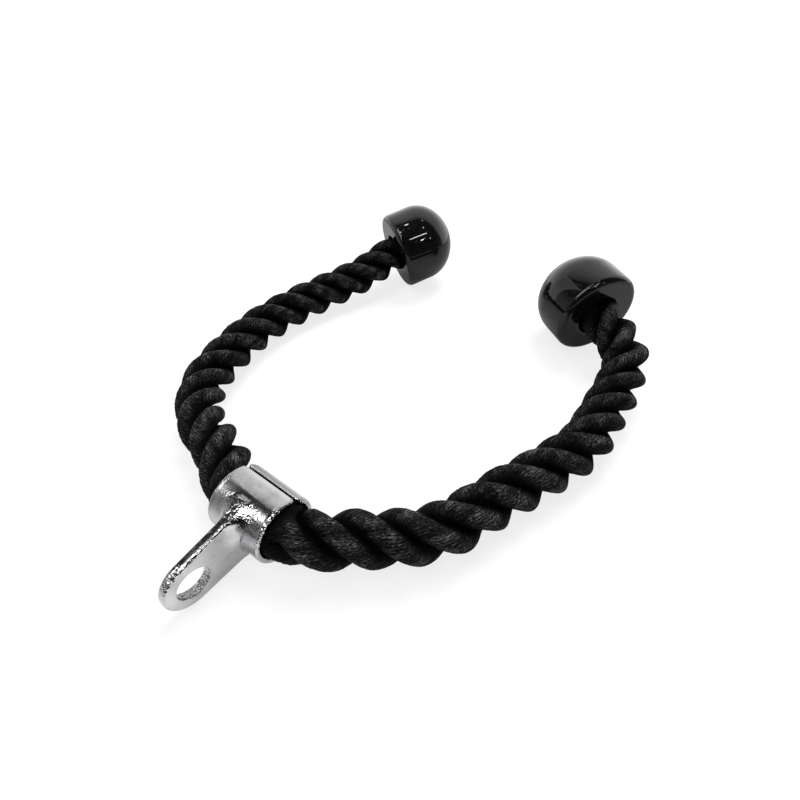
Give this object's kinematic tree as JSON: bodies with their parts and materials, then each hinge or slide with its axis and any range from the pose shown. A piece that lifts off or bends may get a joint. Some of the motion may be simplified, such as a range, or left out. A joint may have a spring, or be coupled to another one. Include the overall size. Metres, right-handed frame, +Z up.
{
  "type": "triceps rope attachment",
  "caption": "Laid black rope handle with domed end caps, held in a split chrome collar whose lug and eye hang from a cable machine's hook.",
  "frame": {"origin": "on the floor that the object lies on, in the middle of the box round the collar, lug and end caps", "axes": "+Z up, X along the collar's tube, -Y towards the lug and its eye, +Y towards the two capped rope ends"},
  "size_m": [0.2747, 0.3572, 0.0665],
  "materials": {
    "chrome_plate": "polished",
    "black_yarn": "laid multifilament with a low sheen",
    "black_gloss": "gloss moulded",
    "zinc_steel": "zinc plated"
  },
  "bodies": {
    "collar": {"collar_and_lug": "chrome_plate", "strand_a_collar": "black_yarn", "strand_b_collar": "black_yarn", "strand_c_collar": "black_yarn"},
    "left_arm": {"left_end_cap": "black_gloss", "left_crimp_ring": "zinc_steel", "strand_a_left_bend": "black_yarn", "strand_b_left_bend": "black_yarn", "strand_c_left_bend": "black_yarn", "strand_a_left_arm": "black_yarn", "strand_b_left_arm": "black_yarn", "strand_c_left_arm": "black_yarn"},
    "right_arm": {"right_end_cap": "black_gloss", "right_crimp_ring": "zinc_steel", "strand_a_right_bend": "black_yarn", "strand_b_right_bend": "black_yarn", "strand_c_right_bend": "black_yarn", "strand_a_right_arm": "black_yarn", "strand_b_right_arm": "black_yarn", "strand_c_right_arm": "black_yarn"}
  },
  "joints": [
    {"name": "left_arm_flex", "type": "hinge", "parent": "collar", "child": "left_arm", "pos_m": [-0.03043, -0.10792, 0.01728], "axis": [0, 0, 1], "range_deg": [-9, 60], "deforming": ["strand_a_left_bend", "strand_b_left_bend", "strand_c_left_bend"]},
    {"name": "right_arm_flex", "type": "hinge", "parent": "collar", "child": "right_arm", "pos_m": [0.06613, -0.10403, 0.01747], "axis": [0, 0, -1], "range_deg": [-9, 60], "deforming": ["strand_a_right_bend", "strand_b_right_bend", "strand_c_right_bend"]}
  ]
}
